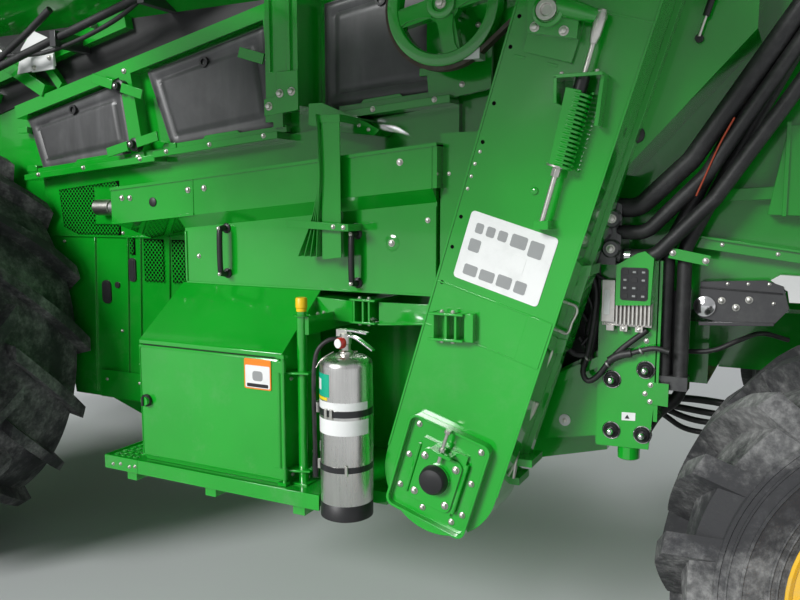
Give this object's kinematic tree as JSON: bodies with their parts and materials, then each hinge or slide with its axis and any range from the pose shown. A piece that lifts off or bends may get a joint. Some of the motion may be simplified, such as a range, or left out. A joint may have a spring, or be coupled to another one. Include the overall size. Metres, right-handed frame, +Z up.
{
  "type": "combine harvester",
  "caption": "Self-propelled combine harvester without header: cab, grain tank, unloading auger, steered rear wheels, and an open flank with elevator, tool box and raised side shields.",
  "frame": {"origin": "on the ground under the middle of the machine's overall length and width", "axes": "+X to the rear, +Y to the machine's right-hand side, +Z up"},
  "size_m": [8.3355, 6.54, 3.78],
  "materials": {
    "green_paint": "gloss",
    "dark_green": "semi-gloss",
    "black_paint": "satin",
    "yellow_paint": "gloss",
    "black_plastic": "textured",
    "tyre": "moulded",
    "steel": "polished",
    "chrome_rod": "polished",
    "hose_rubber": "matt",
    "glass": "clear",
    "grey_plastic": "moulded",
    "seat_fabric": "woven",
    "lamp_glass": "clear lens",
    "grey_metal": "cast"
  },
  "bodies": {
    "machine": {"chassis_frame": "green_paint", "front_axle": "green_paint", "rear_axle": "green_paint", "separator_body": "green_paint", "cleaning_shoe": "green_paint", "rotor_covers": "black_plastic", "flank_panels": "green_paint", "flank_rails": "green_paint", "elevators": "green_paint", "grain_tank": "green_paint", "engine_deck": "green_paint", "shield_hinges": "black_paint", "engine_block": "grey_metal", "cooling_housing": "green_paint", "exhaust_stack": "steel", "fuel_tank": "black_plastic", "auger_turret": "green_paint", "cab_shell": "green_paint", "cab_glass": "glass", "cab_roof": "green_paint", "operator_seat": "seat_fabric", "cab_controls": "black_plastic", "cab_deck": "black_paint", "rear_hood": "green_paint", "straw_chopper": "green_paint", "tool_platform": "green_paint", "tool_box": "green_paint", "extinguisher": "steel", "drive_pulleys": "green_paint", "drive_belt": "hose_rubber", "belt_tensioner": "green_paint", "port_plate": "green_paint", "valve_block": "black_paint", "hydraulic_hoses": "hose_rubber", "work_lamps": "lamp_glass", "mirrors": "black_plastic"},
    "front_wheel_left": {"front_tyre_left": "tyre", "front_rim_left": "yellow_paint"},
    "front_wheel_right": {"front_tyre_right": "tyre", "front_rim_right": "yellow_paint"},
    "rear_wheel_left": {"rear_tyre_left": "tyre", "rear_rim_left": "yellow_paint"},
    "rear_wheel_right": {"rear_tyre_right": "tyre", "rear_rim_right": "yellow_paint"},
    "steering_left": {"knuckle_left": "green_paint"},
    "steering_right": {"knuckle_right": "green_paint"},
    "feeder": {"feeder_house": "green_paint"},
    "barrels": {"lift_barrels": "black_paint"},
    "rods": {"lift_rods": "chrome_rod"},
    "door": {"cab_door": "green_paint", "cab_door_glass": "glass"},
    "ladder": {"ladder": "black_paint"},
    "box_door": {"tool_box_door": "green_paint"},
    "shield_left": {"side_shield_left": "green_paint"},
    "shield_right": {"side_shield_right": "green_paint"},
    "cover_left": {"tank_cover_left": "green_paint"},
    "cover_right": {"tank_cover_right": "green_paint"},
    "auger": {"unloading_auger": "green_paint"},
    "disc_left": {"spreader_left": "black_paint"},
    "disc_right": {"spreader_right": "black_paint"}
  },
  "joints": [
    {"name": "front_wheel_left_spin", "type": "hinge", "parent": "machine", "child": "front_wheel_left", "pos_m": [-1.592, -1.55, 1.035], "axis": [0, 1, 0], "continuous": true},
    {"name": "front_wheel_right_spin", "type": "hinge", "parent": "machine", "child": "front_wheel_right", "pos_m": [-1.592, 1.55, 1.035], "axis": [0, 1, 0], "continuous": true},
    {"name": "steer_left", "type": "hinge", "parent": "machine", "child": "steering_left", "pos_m": [2.848, -1.17, 0.71], "axis": [0, 0, 1], "range_deg": [-25, 25]},
    {"name": "rear_wheel_left_spin", "type": "hinge", "parent": "steering_left", "child": "rear_wheel_left", "pos_m": [2.848, -1.51, 0.71], "axis": [0, 1, 0], "continuous": true},
    {"name": "steer_right", "type": "hinge", "parent": "machine", "child": "steering_right", "pos_m": [2.848, 1.17, 0.71], "axis": [0, 0, 1], "range_deg": [-25, 25]},
    {"name": "rear_wheel_right_spin", "type": "hinge", "parent": "steering_right", "child": "rear_wheel_right", "pos_m": [2.848, 1.51, 0.71], "axis": [0, 1, 0], "continuous": true},
    {"name": "feeder_lift", "type": "hinge", "parent": "machine", "child": "feeder", "pos_m": [-2.432, 0, 1.76], "axis": [0, 1, 0], "range_deg": [-14, 18]},
    {"name": "barrel_tilt", "type": "hinge", "parent": "machine", "child": "barrels", "pos_m": [-1.852, 0, 0.93], "axis": [0, 1, 0], "range_deg": [-9.49, 11.91]},
    {"name": "rod_slide", "type": "slide", "parent": "barrels", "child": "rods", "axis": [-0.9997, 0, -0.0234], "range_m": [-0.2063, 0.2638]},
    {"name": "cab_door_hinge", "type": "hinge", "parent": "machine", "child": "door", "pos_m": [-2.387, -0.916, 2.845], "axis": [0, 0, 1], "range_deg": [0, 80]},
    {"name": "ladder_swing", "type": "hinge", "parent": "machine", "child": "ladder", "pos_m": [-3.282, -1.79, 2], "axis": [0, 0, 1], "range_deg": [0, 90]},
    {"name": "tool_box_door_hinge", "type": "hinge", "parent": "machine", "child": "box_door", "pos_m": [0.838, -1.563, 0.93], "axis": [0, 0, 1], "range_deg": [0, 95]},
    {"name": "side_shield_left_hinge", "type": "hinge", "parent": "machine", "child": "shield_left", "pos_m": [0.783, -1.72, 2.73], "axis": [1, 0, 0], "range_deg": [0, 90]},
    {"name": "side_shield_right_hinge", "type": "hinge", "parent": "machine", "child": "shield_right", "pos_m": [0.783, 1.72, 2.73], "axis": [1, 0, 0], "range_deg": [-90, 0]},
    {"name": "tank_cover_left_hinge", "type": "hinge", "parent": "machine", "child": "cover_left", "pos_m": [-0.757, -1.45, 3.471], "axis": [1, 0, 0], "range_deg": [0, 100]},
    {"name": "tank_cover_right_hinge", "type": "hinge", "parent": "machine", "child": "cover_right", "pos_m": [-0.757, 1.45, 3.471], "axis": [1, 0, 0], "range_deg": [-100, 0]},
    {"name": "auger_swing", "type": "hinge", "parent": "machine", "child": "auger", "pos_m": [-1.842, -1.69, 3.235], "axis": [0, 0, 1], "range_deg": [-95, 0]},
    {"name": "spreader_left_spin", "type": "hinge", "parent": "machine", "child": "disc_left", "pos_m": [3.838, -0.385, 1], "axis": [0, 0, 1], "continuous": true},
    {"name": "spreader_right_spin", "type": "hinge", "parent": "machine", "child": "disc_right", "pos_m": [3.838, 0.385, 1], "axis": [0, 0, 1], "continuous": true}
  ],
  "couplings": [
    {"joint": "steer_right", "follows": "steer_left", "ratio": 1},
    {"joint": "barrel_tilt", "follows": "feeder_lift", "ratio": 0.6062},
    {"joint": "rod_slide", "follows": "feeder_lift", "m_per_rad": 0.82378}
  ]
}
